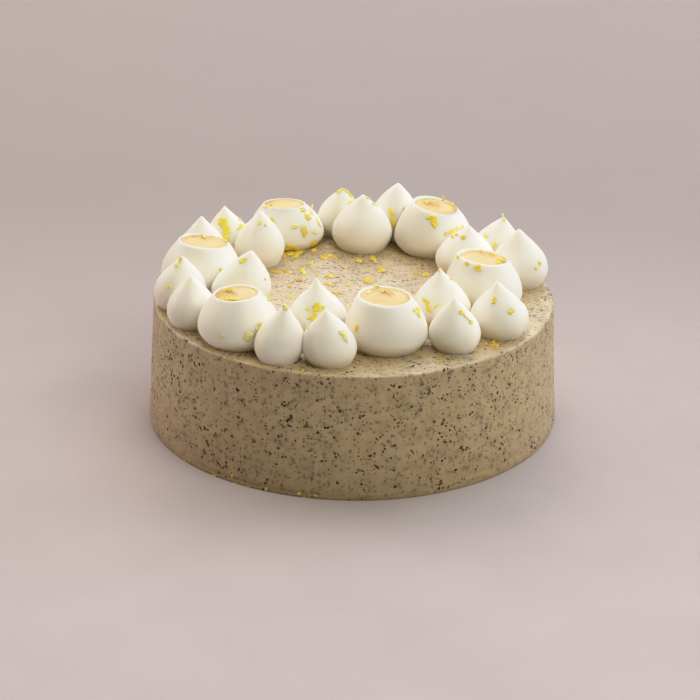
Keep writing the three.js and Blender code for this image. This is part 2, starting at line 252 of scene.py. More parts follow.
SEEN_ZEST = {
    "kiss_6_outer_a": [
        Shred(180.4, 259.6, 2.6, 80, DEEP), Shred(176.8, 264.6, 3.2, -50, PALE),
        Shred(169, 286.9, 1.8, 60, BRIGHT)],
    "kiss_6_outer_b": [Shred(197.3, 277.1, 1, 0, BRIGHT), Shred(193.7, 273.8, 5, -45, PALE, 0.7)],
    "kiss_6_inner": [
        Shred(242.6, 260.2, 4.3, 36, BRIGHT, 1.3), Shred(265.2, 279.3, 1, 0, BRIGHT)],
    "filled_dollop_6": [
        Shred(220.5, 269.4, 1.8, 85, BRIGHT), Shred(225.5, 241.5, 2.4, 80, DEEP),
        Shred(236.3, 249.4, 8, -45, DEEP, 0.6), Shred(199.9, 231.3, 3.4, 10, DEEP),
        Shred(204.8, 236.5, 3.5, -50, PALE)],
    "filled_dollop_1": [
        Shred(228.6, 290, 3, 30, BRIGHT, 1.8), Shred(223.5, 299.2, 5, 0, BRIGHT),
        Shred(233, 299.6, 5, -3, BRIGHT), Shred(265.2, 295.4, 2, -60, PALE),
        Shred(267.9, 298.9, 3, -55, BRIGHT), Shred(222.3, 336.4, 1.8, 60, PALE),
        Shred(248.7, 336, 5.5, 22, PALE, 2.2), Shred(260.3, 324.8, 2, 30, BRIGHT),
        Shred(256.7, 330.2, 1.8, 60, BRIGHT), Shred(222.5, 351.8, 4.2, 95, DEEP),
        Shred(223.9, 356, 2, -10, DEEP)],
    "kiss_1_outer_a": [Shred(285.3, 306.5, 3, 30, PALE, 2), Shred(290, 306, 1.2, 0, PALE)],
    "kiss_1_outer_b": [
        Shred(306.5, 328.3, 3.4, -37, BRIGHT), Shred(344.8, 336.3, 7, -80, PALE, 1.2),
        Shred(341.2, 332.7, 2, 0, PALE), Shred(352.7, 326.4, 2.6, 50, DEEP, 1.6)],
    "kiss_1_inner": [
        Shred(308.2, 309.2, 2.6, -60, BRIGHT), Shred(318.3, 306.8, 3.6, 60, BRIGHT, 2.6),
        Shred(316.6, 309, 3.6, -10, BRIGHT, 2.2), Shred(323.5, 307.3, 1.6, 10, BRIGHT),
        Shred(313.5, 316.9, 6, 37, BRIGHT, 2.2)],
    "filled_dollop_2": [
        Shred(356.4, 328, 4.5, 75, BRIGHT), Shred(350.3, 304.9, 6.5, 78, PALE, 0.8),
        Shred(378, 285.6, 3.5, -5, PALE), Shred(368, 292.5, 3.5, 50, PALE),
        Shred(383.8, 291, 2.4, 20, BRIGHT), Shred(414.4, 310.7, 2, 20, BRIGHT),
        Shred(417.8, 309.2, 2.6, -70, BRIGHT), Shred(418.7, 315, 3.4, -75, BRIGHT),
        Shred(412.9, 295, 2, 0, PALE)],
    "kiss_2_inner": [
        Shred(438.3, 270.4, 1.5, 50, BRIGHT), Shred(452.2, 279.2, 2.2, -60, BRIGHT, 1.4),
        Shred(424.5, 300, 3, -30, DEEP), Shred(427.5, 303, 2.4, 40, DEEP),
        Shred(427.7, 307.2, 3.4, 80, DEEP), Shred(430.1, 310.2, 3, -60, DEEP),
        Shred(436.2, 305.6, 3.4, 15, PALE)],
    "kiss_2_outer_a": [
        Shred(461.2, 312.2, 2.6, 0, BRIGHT, 1.6), Shred(466.3, 317, 5.5, -45, PALE, 0.5),
        Shred(470.9, 321.9, 2.6, -75, BRIGHT)],
    "kiss_2_outer_b": [
        Shred(486.6, 284.6, 1.4, 0, BRIGHT), Shred(494.4, 299.8, 4, 85, BRIGHT),
        Shred(492.7, 303, 1.2, 0, BRIGHT), Shred(511.2, 311.2, 3.8, 70, BRIGHT, 1.8)],
    "filled_dollop_3": [
        Shred(458.2, 256.8, 2.4, 80, BRIGHT), Shred(466.8, 263.3, 2.4, -20, BRIGHT),
        Shred(477.6, 267.9, 4.7, -18, BRIGHT, 2), Shred(493, 254, 3.5, -50, DEEP, 0.7),
        Shred(501, 259.8, 6, -25, BRIGHT, 0.8), Shred(498.3, 262, 2.6, 75, BRIGHT)],
    "kiss_3_outer_a": [Shred(539.8, 263.3, 2.4, 75, BRIGHT), Shred(536.7, 268.4, 2, 40, PALE)],
    "kiss_3_outer_b": [
        Shred(503.2, 219.5, 4, 95, PALE, 0.9, True), Shred(504.5, 219.8, 2.5, 60, PALE, 0.7),
        Shred(485.6, 236, 2.8, -40, BRIGHT, 1.4), Shred(494.6, 245.2, 3.4, 40, BRIGHT, 1.5)],
    "kiss_3_inner": [
        Shred(452.2, 236.8, 2.8, 10, BRIGHT), Shred(456.6, 234.6, 2, 40, BRIGHT),
        Shred(463.6, 237.4, 3.4, 20, DEEP, 1.4)],
    "filled_dollop_4": [
        Shred(443.6, 200.6, 3.2, 100, BRIGHT, 1.1, True), Shred(451.5, 203.6, 4.5, -15, BRIGHT),
        Shred(446.4, 233.6, 2.4, 60, BRIGHT), Shred(451.6, 231.6, 3.6, 5, BRIGHT, 1.6),
        Shred(457.4, 228.8, 3, 65, PALE, 1.3), Shred(462.4, 226.6, 2, 20, PALE),
        Shred(426.3, 201.8, 4, -20, PALE), Shred(430.9, 217.3, 5.9, 10, BRIGHT, 1.2),
        Shred(434.4, 222.6, 6.6, -86, BRIGHT, 2)],
    "kiss_4_outer_a": [
        Shred(390.8, 211.5, 4.5, -60, BRIGHT, 1.8), Shred(393.2, 221, 6.5, -82, BRIGHT, 1.6),
        Shred(405, 209.3, 2.2, 10, BRIGHT)],
    "kiss_4_outer_b": [
        Shred(339.3, 190.2, 3.8, 28, BRIGHT, 1.8), Shred(343.8, 187.6, 3.2, 4, DEEP, 1.8),
        Shred(345, 188, 3.2, 6, BRIGHT, 1, True), Shred(347.6, 191.4, 3.8, -60, BRIGHT, 1.2),
        Shred(351.6, 196, 4, -47, BRIGHT, 1.2), Shred(354, 199.4, 1.6, 20, BRIGHT),
        Shred(350.4, 203.6, 4.6, 55, BRIGHT, 1), Shred(340.2, 211.6, 1, 0, PALE)],
    "kiss_4_inner": [Shred(368.3, 198, 3, -40, BRIGHT), Shred(374.6, 204, 4, -40, PALE)],
    "filled_dollop_5": [
        Shred(265.4, 206.5, 2.5, 0, PALE), Shred(269.5, 205.4, 3, 10, BRIGHT),
        Shred(302.7, 202.5, 2, 80, PALE), Shred(303.5, 209.8, 3, -10, DEEP, 1.6),
        Shred(307.7, 217, 4.4, -65, DEEP, 1.8), Shred(311, 210.5, 3.5, 70, PALE),
        Shred(312.2, 207.8, 3, 80, PALE, 1, True), Shred(312.2, 213.7, 2, 0, PALE),
        Shred(318, 222, 6.4, -68, BRIGHT, 0.6), Shred(272.3, 220.4, 3.8, -60, BRIGHT),
        Shred(295.2, 226.7, 3.4, 45, PALE, 1.8), Shred(304.2, 231.8, 6.2, -88, DEEP, 1.8),
        Shred(315.8, 232.3, 3, -30, PALE), Shred(313.8, 244, 5.5, -75, BRIGHT, 2.8),
        Shred(286, 249.5, 3, 40, BRIGHT, 2), Shred(291, 247.5, 3.4, 60, BRIGHT, 2.2),
        Shred(296.5, 249.5, 3.2, -30, BRIGHT, 2)],
    "kiss_5_outer_a": [
        Shred(221, 222.5, 3.5, 30, BRIGHT, 2.4), Shred(225, 221.8, 3.5, -30, BRIGHT, 2.4),
        Shred(224.5, 226.8, 4, 80, BRIGHT, 2.6), Shred(227.2, 231.3, 4.5, -80, BRIGHT, 2.6),
        Shred(225.5, 236, 4, 70, BRIGHT, 2.4), Shred(220, 235.8, 2.5, 10, BRIGHT, 1.4),
        Shred(225.5, 240.5, 2.4, 60, BRIGHT, 1.4), Shred(239.5, 218.8, 2.6, -45, BRIGHT),
        Shred(240.2, 227.2, 4, 35, BRIGHT)],
    "kiss_5_inner": [Shred(260.2, 222.7, 3, 20, PALE), Shred(265.4, 225, 1.5, 0, PALE)],
    "cake": [
        Shred(302.5, 371.4, 2, 30, BRIGHT, 0.6), Shred(351.7, 370.4, 1.8, 20, DEEP, 0.5),
        Shred(374.7, 372.4, 1.6, -55, DEEP, 0.6), Shred(441.3, 362.2, 1.9, 90, DEEP, 0.6),
        Shred(486.2, 343.9, 2, 0, DEEP), Shred(493.4, 342.3, 3, 80, BRIGHT),
        Shred(494.9, 345.9, 5, -10, DEEP, 2), Shred(535.2, 303.1, 1, 0, BRIGHT),
        Shred(184.8, 460.4, 1.2, -40, BRIGHT, 0.5), Shred(214.3, 475.5, 2, -20, BRIGHT, 0.6),
        Shred(232.1, 476.2, 2.2, 95, BRIGHT, 0.5), Shred(235.5, 483.6, 2.6, -8, BRIGHT, 0.6),
        Shred(248.9, 487, 2, -10, BRIGHT, 0.5), Shred(266.1, 489.1, 1.8, 60, BRIGHT, 0.6),
        Shred(298.7, 494, 2.4, 45, BRIGHT, 0.7), Shred(304.9, 497.5, 1.4, -10, BRIGHT, 0.5),
        Shred(315.9, 495.6, 2.6, -6, DEEP, 0.5),
        Shred(284.6, 254.6, 3.6, 10, DEEP, 1.8), Shred(289.6, 253.6, 3.6, -10, PALE, 2.2),
        Shred(294.4, 254.6, 3.6, 15, BRIGHT, 2), Shred(299, 252.6, 3.6, -20, PALE, 2.2),
        Shred(297, 255.4, 3.2, 5, BRIGHT, 1.6), Shred(313.6, 250.4, 3, -70, PALE, 2),
        Shred(275.8, 272.2, 5, -8, DEEP), Shred(285, 271.5, 2.6, -15, DEEP),
        Shred(290.6, 273, 2, 0, PALE), Shred(302.4, 270.6, 3, 20, BRIGHT, 1.6),
        Shred(304.2, 273.4, 3, -60, PALE, 1.4), Shred(298.8, 280.2, 4.2, -8, DEEP),
        Shred(290.1, 286.5, 2, 10, DEEP), Shred(308.5, 264.4, 2.4, 5, DEEP),
        Shred(312.6, 262.9, 3, 15, PALE, 0.6), Shred(322.6, 257.2, 2.6, 30, DEEP, 1.2),
        Shred(325.6, 258.8, 2.6, -30, BRIGHT, 1.2), Shred(325, 255.6, 2.2, 70, DEEP, 1),
        Shred(328.6, 256.8, 2.2, 10, BRIGHT, 1), Shred(330.4, 255.2, 1.8, 40, PALE),
        Shred(335.5, 257.2, 2.6, 30, DEEP, 1.6), Shred(338.1, 261.8, 1, 0, BRIGHT),
        Shred(317.7, 275.1, 1.6, 0, BRIGHT), Shred(330.4, 276.3, 3.4, 20, BRIGHT, 1.6),
        Shred(336, 276.6, 1, 0, PALE), Shred(331, 285.3, 4.6, -3, BRIGHT, 0.7),
        Shred(326, 283, 2.5, -70, BRIGHT, 0.7), Shred(347.8, 285.3, 3, 10, PALE),
        Shred(359, 260.8, 2.6, 40, BRIGHT, 1.8), Shred(373.3, 258.6, 4.4, -30, BRIGHT, 1.8),
        Shred(375, 261.4, 2.6, -70, BRIGHT), Shred(381.4, 269.2, 3.4, -10, BRIGHT, 1.6),
        Shred(383.6, 271.4, 2.6, -50, DEEP), Shred(379.6, 271.6, 2.4, 30, DEEP),
        Shred(368.2, 281.2, 5.2, 12, DEEP, 1.8), Shred(337.6, 293.3, 5.3, -5, DEEP),
        Shred(289.1, 298.4, 3.6, -5, DEEP), Shred(415.9, 273, 2.6, 5, DEEP, 1.6),
        Shred(425.5, 275.5, 4.5, 20, DEEP, 1.6)],
}


# The smear bends round the foot of kiss_2_outer_a.
SMEAR_THICKNESS = 0.35 * MM
SMEAR = [Shred(455.5, 355.8, 2.6, -14, PALE, 1.3), Shred(459.5, 356.6, 3.2, -4, PALE, 1.6),
         Shred(464, 356.7, 3.2, 3, PALE, 1.7), Shred(468, 356.2, 2.8, 12, PALE, 1.3),
         Shred(470.8, 355.2, 1.6, 24, PALE, 0.9)]


def colour(code):
    """An sRGB hex colour as linear red, green, blue and alpha."""
    parts = [int(code[i:i + 2], 16) / 255 for i in (1, 3, 5)]
    return tuple(c / 12.92 if c <= 0.04045 else ((c + 0.055) / 1.055) ** 2.4 for c in parts) + (1.0,)


def hue(name, description, code):
    """A colour that a user can change."""
    return bpy.props.FloatVectorProperty(
        name=name, description=description, default=colour(code), size=4, subtype="COLOR", min=0, max=1)


def length(name, description, millimetres):
    """A length that a user can change."""
    return bpy.props.FloatProperty(
        name=name, description=description, default=millimetres * MM, unit="LENGTH", min=0)


def count(name, description, number):
    """A number that a user can change."""
    return bpy.props.IntProperty(name=name, description=description, default=number, min=0)


class ButtercreamSettings(bpy.types.PropertyGroup):
    cream: hue("Buttercream", "Butter, sugar and steeped tea", "#C2A97D")
    shade: hue("Darker buttercream", "Where more tea has steeped in", "#B1996C")
    sunk: hue("Sunk leaf", "Leaf a little way under the surface", "#55544C")
    stain: hue("Stain", "Where a scrap of leaf has bled into the butter", "#62351D")
    # This colour paints shade down the lower side of the coat, and darkens a band at its foot
    wet: hue("Wet foot", "Where the coat has softened at its foot", "#8A6A42")
    undulation: length("Undulation", "How far the scraped side wanders", 0.7)
    grain: length("Grain", "Relief that the palette knife leaves", 0.16)


class TeaSettings(bpy.types.PropertyGroup):
    leaf: hue("Black leaf", "Crushed black tea", "#30211D")
    russet: hue("Russet leaf", "The redder bits of leaf and stalk", "#5E321D")
    size: length("Size", "The usual length of a scrap of leaf", 1.25)
    side_scraps: count("Scraps on the side", "How many lie at the surface", 2200)
    top_scraps: count("Scraps on the top", "How many lie at the surface", 1500)


class CreamSettings(bpy.types.PropertyGroup):
    cream: hue("Whipped cream", "Piped cream cheese frosting", "#F6EEDF")
    shade: hue("Thicker cream", "Where it is a little yellower", "#F4EBD7")
    # Curd stain together with painted reflection of the yellow curd, inside the wells
    curd_stain_and_reflection: hue("Stained cream", "Where it has taken up curd", "#F2E8C0")
    wobble: length("Wobble", "How far a piped form is from round", 0.9)
    nib: length("Nib", "The small point that the nozzle pulls up", 1.4)
    sides: count("Sides", "Round a kiss", 72)
    filled_sides: count("Sides of a filled dollop", "Round an open dollop", 96)


class CurdSettings(bpy.types.PropertyGroup):
    curd: hue("Lemon curd", "Egg yolk, butter and lemon", "#DBAF61")
    deep: hue("Deep curd", "Where the curd is thick", "#D8AC5B")
    mound: length("Mound", "How far the curd swells over its edge", 1.9)
    swirl: length("Swirl", "Height of the ridge that the nozzle leaves", 0.75)
    peak: length("Peak", "Height of the small peak over the mound", 1.5)


class ZestSettings(bpy.types.PropertyGroup):
    pale: hue("Pale zest", "Zest with pith, or wet with cream", "#FFF08E")
    bright: hue("Bright zest", "The yellow skin", "#FFE044")
    deep: hue("Deep zest", "The skin where it is thick", "#FACF34")
    dry: hue("Dry zest", "Zest that has dried on the buttercream", "#E3BC30")
    thickness: length("Thickness", "Of a shred", 0.5)
    hidden_shreds: count("Shreds behind", "On a piece's side that the camera can't see, at most", 10)


class StudioSettings(bpy.types.PropertyGroup):
    floor: hue("Floor", "Pale warm grey paper", "#B9ABA6")
    far_floor: hue("Far floor", "The same paper towards the back", "#968A83")
    air: hue("Air", "Soft light from all round", "#F0FFE8")
    air_strength: bpy.props.FloatProperty(
        name="Air strength", description="How bright the air is", default=0.045, min=0)


def add(tree, kind, inputs=(), output="", **settings):
    """Adds a shader node with its settings and gives one of its outputs, the first one in use
    unless it is named. Its inputs are given by name, or in the order of those in use, and each is
    a value or the output that it is linked from."""
    node = tree.nodes.new("ShaderNode" + kind)
    for name, value in settings.items():
        setattr(node, name, value)
    if not isinstance(inputs, dict):
        inputs = dict(zip([index for index, slot in enumerate(node.inputs) if slot.enabled], inputs))
    for name, value in inputs.items():
        if isinstance(value, bpy.types.NodeSocket):
            tree.links.new(value, node.inputs[name])
        else:
            node.inputs[name].default_value = value
    return node.outputs[output] if output else next((out for out in node.outputs if out.enabled), None)


def new_material(name):
    """An empty material, its nodes, and object coordinates in millimetres."""
    material = bpy.data.materials.new(name)
    material.use_nodes = True
    tree = material.node_tree
    tree.nodes.clear()
    place = add(tree, "TexCoord", output="Object")
    return material, tree, add(tree, "Mapping", {"Vector": place, "Scale": (1 / MM, 1 / MM, 1 / MM)})


def patches(tree, place, size, start=0.0, end=1.0, detail=2.0, low=0.3, high=0.7):
    """Soft patches of about `size` millimetres that run from start to end. The nearer low and high
    are to each other, the sharper the patches."""
    lumps = add(tree, "TexNoise", {"Vector": place, "Scale": 1 / size, "Detail": detail})
    return add(tree, "MapRange", (lumps, low, high, start, end), interpolation_type="SMOOTHSTEP")


def specks(tree, place, cell, radius, edge, share, strength):
    """Specks of about `radius` millimetres with an edge that wide, one in a share of the cells."""
    spots = add(tree, "TexVoronoi", {"Vector": place, "Scale": 1 / cell})
    shown = add(tree, "MapRange", (spots, radius / cell, (radius + edge) / cell, strength, 0.0),
                interpolation_type="SMOOTHSTEP")
    pick = add(tree, "SeparateColor", {"Color": spots.node.outputs["Color"]})
    chosen = add(tree, "Math", (pick, share), operation="LESS_THAN")
    return add(tree, "Math", (shown, chosen), operation="MULTIPLY")


def buttercream_material(settings):
    """Butter buttercream, scraped smooth: satin, slightly see-through, with tea leaf in it.

    The leaf under the surface shows as soft grey clouds, brown stains and fine dust, in drifts. Painted shade
    darkens the side towards the bottom, and a band at the foot is darker."""
    material, tree, place = new_material("buttercream")
    wander = add(tree, "TexNoise", {"Vector": place, "Scale": 0.6, "Detail": 2.0}, "Color")
    bent = add(tree, "VectorMath", (wander, (2.4, 2.4, 2.4), place), operation="MULTIPLY_ADD")
    drift = patches(tree, place, 12, 0.25, 1.0, 3, 0.4, 0.6)
    clouds_of_leaf = specks(tree, bent, 3.0, 0.2, 1.5, 0.6, 0.8)
    dust = specks(tree, bent, 1.25, 0.14, 0.3, 0.5, 0.8)
    height = add(tree, "SeparateXYZ", {"Vector": place}, "Z")
    uneven = add(tree, "Math", (height, patches(tree, place, 9, -1, 1)), operation="ADD")
    # Painted shade: the side darkens towards the bottom, where less light reaches it
    painted_low_shade = add(tree, "MapRange", (height, 0, 36, 0.2, 0), interpolation_type="SMOOTHSTEP")
    # A band at the foot of the coat is darker
    wet = add(tree, "MapRange", (uneven, 1.6, 3.4, 0.4, 0), interpolation_type="SMOOTHSTEP")
    base = settings.cream
    for tint, share in (
            (settings.shade, patches(tree, place, 6, detail=3)),
            (settings.sunk, add(tree, "Math", (clouds_of_leaf, drift), operation="MULTIPLY")),
            (settings.stain, specks(tree, bent, 2.0, 0.3, 0.5, 0.6, 0.85)),
            (settings.sunk, add(tree, "Math", (dust, drift), operation="MULTIPLY")),
            (settings.wet, painted_low_shade),
            (settings.wet, wet)):
        base = add(tree, "Mix", (share, base, tint), data_type="RGBA")
    scraped = add(tree, "Mapping", {"Vector": place, "Scale": (0.25, 0.25, 3)})
    scrapes = add(tree, "TexNoise", {"Vector": scraped, "Scale": 1 / 7, "Detail": 2})
    fine = add(tree, "TexNoise", {"Vector": place, "Scale": 1 / 0.9, "Detail": 3})
    relief = add(tree, "Math", (fine, scrapes), operation="ADD")
    surface = add(tree, "BsdfPrincipled", {
        "Base Color": base, "IOR": 1.46, "Specular IOR Level": 1.0,
        "Roughness": patches(tree, place, 3, 0.4, 0.54),
        "Normal": add(tree, "Bump", {"Height": relief, "Strength": 0.12, "Distance": 0.4 * MM}),
        "Subsurface Weight": 0.25, "Subsurface Radius": (1.0, 0.7, 0.45), "Subsurface Scale": 1.6 * MM,
    })
    add(tree, "OutputMaterial", {"Surface": surface})
    return material


def cream_material(settings):
    """Whipped cream frosting, piped: warm white, satin, and it lets light in a few millimetres.

    Inside the wells it is pale yellow: curd stain together with painted reflection of the yellow curd."""
    material, tree, place = new_material("piped_cream")
    base = settings.cream
    for tint, share in (
            (settings.shade, patches(tree, place, 14, low=0.35, high=0.65)),
            # Painted reflection of the curd, with its stain, inside the wells
            (settings.curd_stain_and_reflection, add(tree, "Attribute", output="Fac", attribute_name="stain"))):
        base = add(tree, "Mix", (share, base, tint), data_type="RGBA")
    drawn = add(tree, "Mapping", {"Vector": place, "Scale": (0.1, 0.1, 1)})
    grooves = add(tree, "TexNoise", {"Vector": drawn, "Scale": 1 / 2.6, "Detail": 2})
    fine = add(tree, "TexNoise", {"Vector": place, "Scale": 1 / 1.6, "Detail": 3})
    relief = add(tree, "Math", (fine, grooves), operation="ADD")
    surface = add(tree, "BsdfPrincipled", {
        "Base Color": base, "IOR": 1.45, "Roughness": patches(tree, place, 4, 0.42, 0.54),
        "Normal": add(tree, "Bump", {"Height": relief, "Strength": 0.12, "Distance": 0.3 * MM}),
        "Subsurface Weight": 0.9, "Subsurface Radius": (1.0, 0.95, 0.8), "Subsurface Scale": 4 * MM,
    })
    add(tree, "OutputMaterial", {"Surface": surface})
    return material


def curd_material(settings):
    """Lemon curd: smooth and glossy, with slow changes from pale to deep yellow."""
    material, tree, place = new_material("lemon_curd")
    deeper = patches(tree, place, 13, detail=1, low=0.35, high=0.65)
    surface = add(tree, "BsdfPrincipled", {
        "Base Color": add(tree, "Mix", (deeper, settings.curd, settings.deep), data_type="RGBA"),
        "IOR": 1.45, "Roughness": patches(tree, place, 7, 0.26, 0.34, 1),
        "Subsurface Weight": 0.75, "Subsurface Radius": (1.0, 0.85, 0.5), "Subsurface Scale": 3 * MM,
    })
    add(tree, "OutputMaterial", {"Surface": surface})
    return material


def zest_material(settings):
    """Grated lemon zest: waxy, a little wet, and from pale pith to deep yellow."""
    material, tree, place = new_material("lemon_zest")
    tone = add(tree, "Attribute", output="Fac", attribute_name="tone")
    yellow = add(tree, "ValToRGB", {"Fac": tone})
    stops = yellow.node.color_ramp.elements
    stops[0].color = settings.pale
    stops[1].color = settings.dry
    stops.new(BRIGHT).color = settings.bright
    stops.new(DEEP).color = settings.deep
    pith = patches(tree, place, 0.8, 0, 0.25, low=0.4, high=0.8)
    surface = add(tree, "BsdfPrincipled", {
        "Base Color": add(tree, "Mix", (pith, yellow, settings.pale), data_type="RGBA"),
        "IOR": 1.4, "Roughness": 0.45,
        "Subsurface Weight": 0.3, "Subsurface Radius": (1.0, 1.0, 0.3), "Subsurface Scale": 0.3 * MM,
    })
    add(tree, "OutputMaterial", {"Surface": surface})
    return material


def leaf_material(name, tint):
    """Crushed tea leaf in a film of butter: matt, and greyer where the butter lies over it."""
    material, tree, place = new_material(name)
    film = patches(tree, place, 3, 0, 0.7, low=0.4)
    surface = add(tree, "BsdfPrincipled", {
        "Base Color": add(tree, "Mix", (film, tint, colour(BUTTER_FILM)), data_type="RGBA"),
        "Specular IOR Level": 0.3, "Roughness": patches(tree, place, 0.7, 0.6, 0.8)})
    add(tree, "OutputMaterial", {"Surface": surface})
    return material


def paper_material(settings):
    """Matt paper with a faint, wide mottle, a little darker towards the back."""
    material, tree, place = new_material("studio_paper")
    behind = add(tree, "SeparateXYZ", {"Vector": place}, "Y")
    far = add(tree, "MapRange", (behind, -150, 350), interpolation_type="SMOOTHSTEP")
    base = settings.floor
    for tint, share in (
            (settings.far_floor, far),
            (colour(PAPER_MOTTLE), patches(tree, place, 60, 0, 0.12, 4))):
        base = add(tree, "Mix", (share, base, tint), data_type="RGBA")
    surface = add(tree, "BsdfPrincipled", {"Base Color": base, "Roughness": 0.9})
    add(tree, "OutputMaterial", {"Surface": surface})
    return material


MATERIALS = {}


def material_for(maker, settings):
    """The material of that maker, made once."""
    if maker not in MATERIALS:
        MATERIALS[maker] = maker(settings)
    return MATERIALS[maker]


def node_points(name):
    """A node's own points, each once."""
    points = np.array([vertex.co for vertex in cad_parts[name].data.vertices])
    return np.unique(points.round(6), axis=0)


def measure_mouth(name):
    """The middle, radius and slopes of the ring where the curd of a dollop meets its wall."""
    points = node_points(name.replace("filled_dollop", "lemon_curd"))
    upper = points[points[:, 2] > points[:, 2].min() + 0.55 * WELL_DEPTH]
    middle = (upper.min(0) + upper.max(0)) / 2
    reach = np.hypot(*(upper - middle)[:, :2].T)
    ring = upper[reach > 0.9 * reach.max()]
    middle = ring.mean(0)
    flat = np.column_stack([(ring - middle)[:, :2], np.ones(len(ring))])
    right, back, _ = np.linalg.lstsq(flat, ring[:, 2], rcond=None)[0]
    return middle, np.hypot(*(ring - middle)[:, :2].T).mean(), -right, -back


def round_radius(reaches):
    """The radius of a ring that is pressed flat in places and has a shred on it: the largest
    reach that three of its points share."""
    ordered = sorted(reaches, reverse=True)
    for first, second, third in zip(ordered, ordered[1:], ordered[2:]):
        if first - third < REACH_SPREAD:
            return second
    return ordered[0]


def measure_taper(share, part):
    """The taper with which a kiss is `part` of its girth at a share of its height."""
    return math.log(math.asin(part) * 2 / math.pi) / math.log((1 - share) / (1 - BELLY))


def measure_cream(name):
    """Reads a piece's foot, girth, height, lean, taper and mouth from its solid."""
    points = node_points(name)
    low = points[:, 2].min()
    base = points[points[:, 2] < low + FOOT_BAND]
    foot = base[np.argmin(np.hypot(*(base - base.mean(0))[:, :2].T))]
    tip = points[np.argmax(points[:, 2])]
    height = tip[2] - low
    lean = tip[0] - foot[0]
    mouth = fall_right = fall_back = 0.0
    if name in DOLLOPS:
        middle, radius, fall_right, fall_back = measure_mouth(name)
        mouth = radius + CURD_RING_GAP
        height = middle[2] + CURD_EDGE_DROP - low
        share = 1 - CURD_EDGE_DROP / height
        lean = (middle[0] - foot[0]) / share ** LEAN_POWER
        fall_right = fall_right / share ** 2
        fall_back = fall_back / share ** 2

    def radius_at(level):
        rise = points[:, 2] - low + level ** 2 * (
            fall_right * (points[:, 0] - foot[0]) + fall_back * (points[:, 1] - foot[1]))
        ring = points[np.abs(rise - level * height) < RING_BAND]
        across = ring[:, 0] - foot[0] - lean * level ** LEAN_POWER
        return round_radius(np.hypot(across, ring[:, 1] - foot[1]))

    girth = radius_at(GIRTH_LEVEL)
    taper = FILLED_TAPER if mouth else measure_taper(TAPER_LEVEL, radius_at(TAPER_LEVEL) / girth)
    return Cream(name, Vector(foot), girth, height, lean, taper, mouth,
                 math.atan(fall_right), math.atan(fall_back))


PIECES = {name: measure_cream(name) for name in DOLLOPS + KISSES}


def contacts(cream):
    """The upright planes on which a piece is pressed flat by the pieces that it touches."""
    for other in PIECES.values():
        away = other.foot - cream.foot
        apart = away.length
        if other is not cream and apart < cream.girth + other.girth:
            reach = (apart ** 2 + cream.girth ** 2 - other.girth ** 2) / (2 * apart) + MERGE_DEPTH
            yield cream.foot + away / apart * reach, away / apart


def deselect():
    """Deselects all, so that the next operator acts on the new shape alone."""
    bpy.ops.object.select_all(action="DESELECT")


def finish_edit(name, angle=50):
    """Closes a shape's edit, turns its faces outwards and shades it smooth."""
    bpy.ops.mesh.select_all(action="SELECT")
    bpy.ops.mesh.normals_make_consistent(inside=False)
    bpy.ops.object.mode_set(mode="OBJECT")
    piece = bpy.context.active_object
    piece.name = piece.data.name = name
    bpy.ops.object.shade_smooth_by_angle(angle=math.radians(angle))
    return piece


def close_foot():
    """Fills the one ring that is still open."""
    bpy.ops.mesh.select_all(action="DESELECT")
    bpy.ops.mesh.select_non_manifold()
    bpy.ops.mesh.edge_face_add()


def tilt_ring(ring, fall_right, fall_back):
    """Turns the selected ring from how far it falls now until it falls as it should."""
    for turn, axis in ((fall_right - ring.fall_right, "Y"), (ring.fall_back - fall_back, "X")):
        if abs(turn) > 1e-6:
            bpy.ops.transform.rotate(value=turn, orient_axis=axis, center_override=ring.middle)


def loft(rings, sides):
    """Extrudes a circle from ring to ring and draws the last one together at its middle."""
    deselect()
    bpy.ops.mesh.primitive_circle_add(vertices=sides, radius=rings[0].radius, enter_editmode=True)
    bpy.ops.mesh.select_mode(type="VERT")
    bpy.ops.transform.translate(value=rings[0].middle)
    tilt_ring(rings[0], 0, 0)
    for last, ring in zip(rings, rings[1:]):
        bpy.ops.mesh.extrude_region_move(TRANSFORM_OT_translate={"value": ring.middle - last.middle})
        size = ring.radius / last.radius
        bpy.ops.transform.resize(value=(size, size, size), center_override=ring.middle)
        tilt_ring(ring, last.fall_right, last.fall_back)
    bpy.ops.mesh.merge(type="CENTER")
    close_foot()


def apply_displace(piece, texture, strength, group=""):
    """Moves a mesh's points along their normals by a procedural texture."""
    bpy.context.view_layer.objects.active = piece
    push = piece.modifiers.new("relief", "DISPLACE")
    push.texture = texture
    push.strength = strength
    push.mid_level = 0.5
    push.texture_coords = "LOCAL"
    push.vertex_group = group
    bpy.ops.object.modifier_apply(modifier=push.name)


def clouds(name, size, depth=1):
    """A soft texture for relief, with lumps of that size."""
    texture = bpy.data.textures.new(name, "CLOUDS")
    texture.noise_scale = size
    texture.noise_depth = depth
    return texture


def hand_over(piece, material, node=""):
    """Gives a finished piece its material and body, and hides the node that it stands for."""
    piece.data.materials.append(material)
    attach(piece, BODY)
    if node:
        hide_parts(node)


def cream_radius(cream, share):
    """The radius of a piece at a share of its height: out from its heel to its belly, and in from
    there to its point or its lip."""
    if share < BELLY:
        return cream.girth * (HEEL + (1 - HEEL) * math.sin(math.pi / 2 * max(share, 0) / BELLY))
    left = (1 - share) / (1 - BELLY)
    top = cream.mouth + LIP_WIDTH if cream.mouth else 0
    return top + (cream.girth - top) * math.sin(math.pi / 2 * left ** cream.taper)


def cream_ring(cream, share, radius=None):
    """The ring of a piece at a share of its height, leant and tilted as the piece is there."""
    held = max(share, 0)
    middle = cream.foot + Vector((cream.lean * held ** LEAN_POWER, 0, share * cream.height))
    tilt = min(held, 1) ** 2
    return Ring(cream_radius(cream, share) if radius is None else radius, middle,
                cream.fall_right * tilt, cream.fall_back * tilt)


